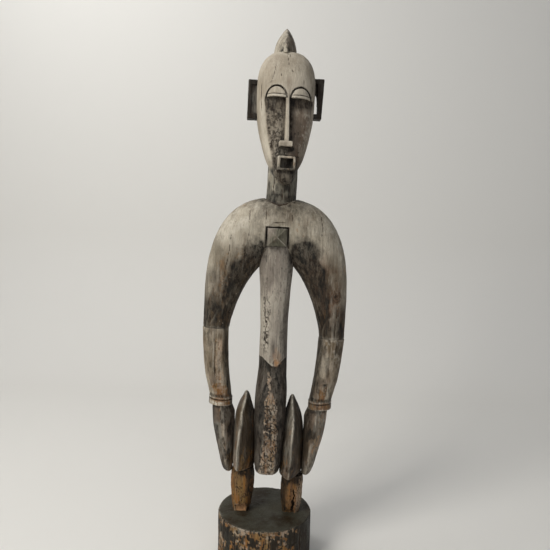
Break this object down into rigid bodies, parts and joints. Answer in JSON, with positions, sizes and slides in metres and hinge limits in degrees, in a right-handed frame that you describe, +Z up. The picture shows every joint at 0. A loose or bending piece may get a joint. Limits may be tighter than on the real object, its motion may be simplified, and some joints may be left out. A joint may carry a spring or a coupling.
{
  "type": "carved ancestor figure",
  "caption": "Tall standing wooden figure with mask-like head, crest, arched shoulders, arms hanging to the thighs and post legs set in a drum-shaped base.",
  "frame": {"origin": "centre of the underside of the drum-shaped base", "axes": "+Z up; the figure faces -Y; its own left side is at +X"},
  "size_m": [0.3047, 0.204, 1.1188],
  "materials": {
    "base_wood": "dark stained, heavily flaked and worn to bare wood on its side",
    "leg_wood": "bare wood, patina worn off",
    "thigh_wood": "dark patina with a pale worn ridge",
    "trunk_wood": "weathered grey above, dark flaking crust with worn streaks below",
    "shoulder_wood": "weathered pale grey, matt, with drying cracks",
    "forearm_wood": "weathered grey-brown, worn by hands",
    "bracelet_wood": "worn pale band on dark patina",
    "hand_wood": "dark patina, worn pale on the ridges",
    "neck_wood": "dark green-grey patina",
    "head_wood": "weathered pale beige-grey, matt, fine grain and cracks",
    "ear_wood": "near-black patina",
    "peg_wood": "plain riven hardwood"
  },
  "bodies": {
    "root": {"base": "base_wood", "right_leg": "leg_wood", "left_leg": "leg_wood", "right_thigh": "thigh_wood", "left_thigh": "thigh_wood", "trunk": "trunk_wood", "shoulder_yoke": "shoulder_wood", "right_forearm": "forearm_wood", "left_forearm": "forearm_wood", "right_bracelet": "bracelet_wood", "left_bracelet": "bracelet_wood", "right_hand": "hand_wood", "left_hand": "hand_wood", "neck": "neck_wood", "head": "head_wood", "crest": "head_wood", "right_ear": "ear_wood", "left_ear": "ear_wood", "chest_stud": "shoulder_wood", "right_elbow_dowel": "peg_wood", "left_elbow_dowel": "peg_wood", "right_thigh_dowels": "peg_wood", "left_thigh_dowels": "peg_wood", "right_hand_dowel": "peg_wood", "left_hand_dowel": "peg_wood", "neck_peg": "peg_wood", "crest_dowel": "peg_wood"}
  },
  "joints": []
}
